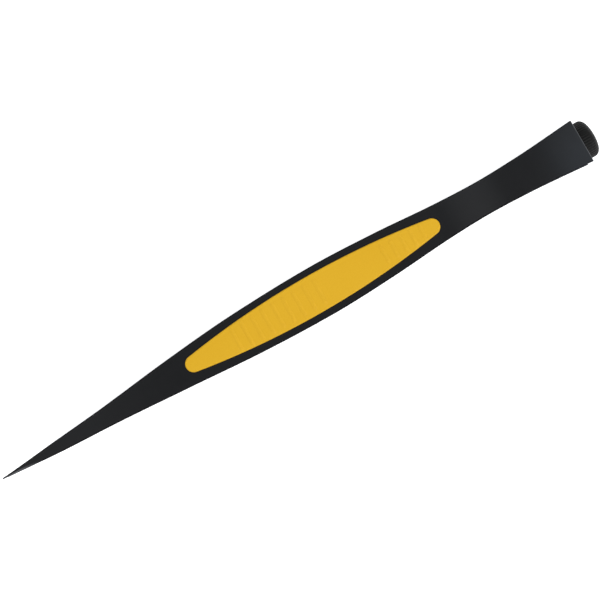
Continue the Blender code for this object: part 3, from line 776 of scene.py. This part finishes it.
class Nodes:
    """Short names for building a material's node tree."""

    def __init__(self, name):
        self.material = bpy.data.materials.new(name)
        self.material.use_nodes = True
        self.tree = self.material.node_tree
        self.shader = self.tree.nodes["Principled BSDF"]
        self.place = self.add("ShaderNodeTexCoord").outputs["Object"]

    def add(self, kind, **settings):
        node = self.tree.nodes.new(kind)
        for key, value in settings.items():
            setattr(node, key, value)
        return node

    def link(self, source, target):
        self.tree.links.new(source, target)

    def stretched(self, x, y, z):
        """Object coordinates, scaled on each axis."""
        mapping = self.add("ShaderNodeMapping")
        mapping.inputs["Scale"].default_value = (x, y, z)
        self.link(self.place, mapping.inputs["Vector"])
        return mapping.outputs["Vector"]

    def noise(self, scale, detail=3.0, vector=None, roughness=0.5):
        node = self.add("ShaderNodeTexNoise")
        node.inputs["Scale"].default_value = scale
        node.inputs["Detail"].default_value = detail
        node.inputs["Roughness"].default_value = roughness
        self.link(vector or self.place, node.inputs["Vector"])
        return node.outputs["Fac"]

    def attribute(self, name):
        return self.add("ShaderNodeAttribute", attribute_name=name).outputs["Fac"]

    def ramp(self, source, low, high, start=0.0, end=1.0):
        """source's range low to high, spread over start to end."""
        node = self.add("ShaderNodeMapRange")
        self.link(source, node.inputs["Value"])
        for key, value in (("From Min", low), ("From Max", high), ("To Min", start), ("To Max", end)):
            node.inputs[key].default_value = value
        return node.outputs["Result"]

    def maths(self, operation, first, second):
        node = self.add("ShaderNodeMath", operation=operation)
        for socket, value in zip(node.inputs, (first, second)):
            if isinstance(value, (int, float)):
                socket.default_value = value
            else:
                self.link(value, socket)
        return node.outputs["Value"]

    def mix(self, factor, first, second):
        """Colour between two colours, each a triple or a socket."""
        node = self.add("ShaderNodeMix", data_type="RGBA")
        self.link(factor, node.inputs["Factor"])
        colour_sockets = [s for s in node.inputs if s.type == "RGBA"]
        for socket, value in zip(colour_sockets, (first, second)):
            if isinstance(value, tuple):
                socket.default_value = (*value, 1.0)
            else:
                self.link(value, socket)
        return [s for s in node.outputs if s.type == "RGBA"][0]

    def set(self, **values):
        """Shader inputs by name, with _ for a space: numbers and colours are set, sockets are linked."""
        for key, value in values.items():
            socket = self.shader.inputs[key.replace("_", " ")]
            if isinstance(value, bpy.types.NodeSocket):
                self.link(value, socket)
            elif isinstance(value, tuple):
                socket.default_value = (*value, 1.0)
            else:
                socket.default_value = value

    def bump(self, height, distance, strength=1.0):
        node = self.add("ShaderNodeBump")
        node.inputs["Distance"].default_value = distance
        node.inputs["Strength"].default_value = strength
        self.link(height, node.inputs["Height"])
        self.link(node.outputs["Normal"], self.shader.inputs["Normal"])


def coated_steel():
    """Satin black coating on steel, finely grained, lighter on worn edges and bare inside the points; a
    painted sheen and painted highlights lighten it at the rear, the cut end and the points' -Y flanks.
    """
    n = Nodes("black_coated_steel")
    grain = n.noise(5200.0, 4.0)
    cloud = n.noise(90.0, 3.0)
    base = n.mix(n.ramp(cloud, 0.35, 0.65), *COAT_TONES)
    breaks = n.ramp(n.noise(420.0, 4.0), 0.42, 0.62)
    # Painted sheen: lighter towards the rear and the -Y side, standing in for light off the rear bend.
    painted_sheen = n.maths("MULTIPLY", n.attribute("painted_sheen"), n.ramp(cloud, *NOISE_SPREAD, 0.7, 1.0))
    base = n.mix(painted_sheen, base, PAINTED_SHEEN_TONE)
    edge = n.maths("MULTIPLY", n.attribute("edge"), n.maths("MULTIPLY", breaks, 0.22))
    coated = n.mix(edge, base, WORN_EDGE_TONE)
    # Painted highlight along the rear cut end.
    coated = n.mix(n.maths("MULTIPLY", n.attribute("cut_end_highlight"), 0.35), coated, CUT_END_HIGHLIGHT_TONE)
    # Painted highlight on the points' -Y ground flanks, where they face the key light.
    coated = n.mix(n.attribute("ground_flank_and_highlight"), coated, GROUND_FLANK_HIGHLIGHT_TONE)
    grinding = n.noise(900.0, 5.0, n.stretched(6.0, 0.35, 1.0))
    steel = n.mix(n.ramp(grinding, *NOISE_SPREAD), *STEEL_TONES)
    wall = n.attribute("wall")
    bare = n.ramp(n.maths("ADD", n.attribute("bare"), n.maths("MULTIPLY", grain, 0.3)), 0.55, 0.85)
    colour = n.mix(bare, coated, steel)
    metallic = n.maths("MULTIPLY", bare, 0.9)
    roughness = n.maths("ADD", n.ramp(grain, *NOISE_SPREAD, 0.30, 0.38), n.ramp(wall, 0.0, 1.0, 0.0, 0.45))
    specular = n.ramp(wall, 0.0, 1.0, 0.45, 0.03)
    n.set(Base_Color=colour, Metallic=metallic, Roughness=roughness, Specular_IOR_Level=specular)
    n.bump(grain, 0.00001, 0.35)
    return n.material


def soft_grip():
    """Matte yellow rubber with a fine grain and a faint unevenness of colour."""
    n = Nodes("yellow_soft_grip")
    grain = n.noise(3600.0, 3.0)
    cloud = n.noise(55.0, 2.0)
    tone = n.mix(n.ramp(cloud, *NOISE_SPREAD), *PAD_TONES)
    colour = n.mix(n.ramp(grain, 0.42, 0.72, 0.0, 0.35), tone, PAD_GRAIN_TONE)
    n.set(Base_Color=colour, Roughness=n.ramp(grain, *NOISE_SPREAD, 0.52, 0.66), Specular_IOR_Level=0.25)
    n.bump(grain, 0.00002, 0.4)
    return n.material


def moulded_black(name, colour, roughness):
    n = Nodes(name)
    grain = n.noise(2600.0, 4.0)
    cloud = n.noise(140.0, 2.0)
    lighter = tuple(min(1.0, c * 1.35 + 0.002) for c in colour)
    n.set(Base_Color=n.mix(n.ramp(cloud, *NOISE_SPREAD), colour, lighter),
          Roughness=n.ramp(grain, *NOISE_SPREAD, roughness - 0.06, roughness + 0.06),
          Specular_IOR_Level=0.14)
    n.bump(grain, 0.00002, 0.3)
    return n.material


def turned_metal(name, colour, metallic, roughness):
    """Metal with fine turning marks round the light's axis."""
    n = Nodes(name)
    marks = n.noise(1.0, 4.0, n.stretched(9000.0, 160.0, 160.0))
    cloud = n.noise(260.0, 3.0)
    lighter = tuple(min(1.0, c * 1.25 + 0.004) for c in colour)
    n.set(Base_Color=n.mix(n.ramp(cloud, *NOISE_SPREAD), colour, lighter), Metallic=metallic,
          Roughness=n.ramp(marks, *NOISE_SPREAD, roughness - 0.07, roughness + 0.08))
    n.bump(marks, 0.000006, 0.5)
    return n.material


def plain_metal(name, colour, roughness):
    n = Nodes(name)
    grain = n.noise(1800.0, 4.0)
    lighter = tuple(min(1.0, c * 1.15) for c in colour)
    n.set(Base_Color=n.mix(n.ramp(grain, *NOISE_SPREAD), colour, lighter), Metallic=1.0,
          Roughness=n.ramp(grain, *NOISE_SPREAD, roughness - 0.06, roughness + 0.08))
    n.bump(grain, 0.00001, 0.3)
    return n.material


def speckled_plastic(name, colour, roughness):
    n = Nodes(name)
    grain = n.noise(1500.0, 3.0)
    darker = tuple(c * 0.86 for c in colour)
    n.set(Base_Color=n.mix(n.ramp(grain, 0.35, 0.65), darker, colour),
          Roughness=n.ramp(grain, *NOISE_SPREAD, roughness - 0.05, roughness + 0.05))
    n.bump(grain, 0.00001, 0.2)
    return n.material


def clear_epoxy():
    n = Nodes("clear_epoxy")
    cloud = n.noise(300.0, 2.0)
    n.set(Base_Color=(0.97, 0.98, 0.99), Roughness=n.ramp(cloud, *NOISE_SPREAD, 0.02, 0.06), IOR=1.5,
          Transmission_Weight=1.0)
    return n.material


def paint_inner_nodes():
    """The pieces sealed inside the light keep their shapes and get finished surfaces."""
    finishes = {
        plain_metal("tinned_lead", (0.62, 0.62, 0.62), 0.3): ("lamp_lead_anode", "lamp_lead_cathode"),
        speckled_plastic("white_holder", (0.72, 0.72, 0.69), 0.5): ("lamp_holder",),
        speckled_plastic("green_board", (0.03, 0.19, 0.07), 0.45): ("contact_board",),
        speckled_plastic("dark_resistor", (0.03, 0.03, 0.03), 0.5): ("series_resistor",),
        plain_metal("bright_cell", (0.66, 0.65, 0.62), 0.22):
            ("button_cell_front", "button_cell_middle", "button_cell_rear"),
        speckled_plastic("film_liner", (0.78, 0.76, 0.68), 0.35): ("cell_liner",),
        plain_metal("brass_contact", (0.76, 0.55, 0.23), 0.28): ("tail_contact",),
        plain_metal("spring_wire", (0.58, 0.58, 0.60), 0.25): ("tail_spring",),
        moulded_black("rubber_ring", (0.008, 0.008, 0.008), 0.6): ("tail_o_ring",),
    }
    for mat, nodes in finishes.items():
        for node in nodes:
            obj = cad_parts[node]
            if not obj.material_slots:
                obj.data.materials.append(mat)
            for place in obj.material_slots:
                place.material = mat


# The stage.

def build_camera():
    tilt, roll = math.radians(CAMERA_TILT), math.radians(CAMERA_ROLL)
    back = Vector((0.0, -math.sin(tilt), math.cos(tilt)))
    level_up = Vector((0.0, math.cos(tilt), math.sin(tilt)))
    level_right = Vector((1.0, 0.0, 0.0))
    right = level_right * math.cos(roll) - level_up * math.sin(roll)
    up = level_right * math.sin(roll) + level_up * math.cos(roll)
    data = bpy.data.cameras.new("camera")
    data.lens = FOCAL_LENGTH
    data.sensor_width = SENSOR
    data.clip_start = 0.01
    data.clip_end = 20.0
    camera = bpy.data.objects.new("camera", data)
    turn = Matrix((right, up, back)).transposed().to_4x4()
    camera.matrix_world = Matrix.Translation(at(*CAMERA_AIM) + back * CAMERA_DISTANCE * MM) @ turn
    bpy.context.scene.collection.objects.link(camera)
    bpy.context.scene.camera = camera


def floor_material():
    n = Nodes("pale_floor")
    cloud = n.noise(8.0, 3.0)
    n.set(Base_Color=n.mix(n.ramp(cloud, *NOISE_SPREAD), *FLOOR_TONES), Roughness=0.7,
          Emission_Color=(1.0, 1.0, 1.0), Emission_Strength=FLOOR_GLOW)
    return n.material


def build_floor():
    mesh = bpy.data.meshes.new("floor")
    work = bmesh.new()
    bmesh.ops.create_grid(work, x_segments=1, y_segments=1, size=FLOOR_SIZE)
    work.to_mesh(mesh)
    work.free()
    floor = new_object("floor", mesh)
    floor.location.z = CAD_LOW.z - FLOOR_GAP
    paint(floor, floor_material())


def area_light(name, place, size, power):
    data = bpy.data.lights.new(name, "AREA")
    data.shape = "DISK"
    data.size = size
    data.energy = power
    light = bpy.data.objects.new(name, data)
    light.location = place
    light.rotation_euler = (-Vector(place)).to_track_quat("-Z", "Y").to_euler()
    bpy.context.scene.collection.objects.link(light)


def studio_world():
    """Pale walls under a dim ceiling, so that level faces stay dark and upright ones catch light."""
    world = bpy.data.worlds.new("studio")
    world.use_nodes = True
    tree = world.node_tree
    place = tree.nodes.new("ShaderNodeTexCoord")
    along = tree.nodes.new("ShaderNodeVectorMath")
    along.operation = "DOT_PRODUCT"
    along.inputs[1].default_value = Vector(DIM_WAY).normalized()
    ramp = tree.nodes.new("ShaderNodeValToRGB")
    tree.links.new(place.outputs["Generated"], along.inputs[0])
    tree.links.new(along.outputs["Value"], ramp.inputs["Fac"])
    tree.links.new(ramp.outputs["Color"], tree.nodes["Background"].inputs["Color"])
    stops = ramp.color_ramp.elements
    for where, tone in ((WALL_MIDDLE, WHITE_WALL), (WALL_TOP, WHITE_WALL)):
        stops.new(where).color = (*tone, 1.0)
    stops[0].color = (*WALL_FOOT, 1.0)
    stops[-1].color = (*DIM_CEILING, 1.0)
    stops[-1].position = CEILING_EDGE
    bpy.context.scene.world = world


def build_lights():
    studio_world()
    area_light("key", KEY_PLACE, KEY_SIZE, KEY_POWER)
    area_light("fill", FILL_PLACE, FILL_SIZE, FILL_POWER)
    bpy.context.scene.view_settings.view_transform = "Standard"


def main():
    steel = coated_steel()
    grip = soft_grip()
    oxide = plain_metal("oxide_steel", (0.075, 0.077, 0.08), 0.42)
    anodised = turned_metal("black_anodised", (0.035, 0.035, 0.038), 0.6, 0.36)
    for side_name, up in (("upper", 1), ("lower", -1)):
        build_arm(side_name, up, steel)
        build_pad(side_name, up, grip)
        build_saddle(side_name, up, oxide)
    build_barrel(anodised)
    build_bezel(turned_metal("bezel_metal", (0.30, 0.30, 0.31), 1.0, 0.28))
    build_lamp(clear_epoxy(), plain_metal("lamp_frame_metal", (0.75, 0.75, 0.74), 0.25),
               speckled_plastic("yellow_phosphor", (0.80, 0.66, 0.12), 0.5))
    build_cap(moulded_black("black_moulded_cap", (0.0052, 0.0052, 0.0049), 0.6))
    paint_inner_nodes()
    build_camera()
    build_floor()
    build_lights()


main()
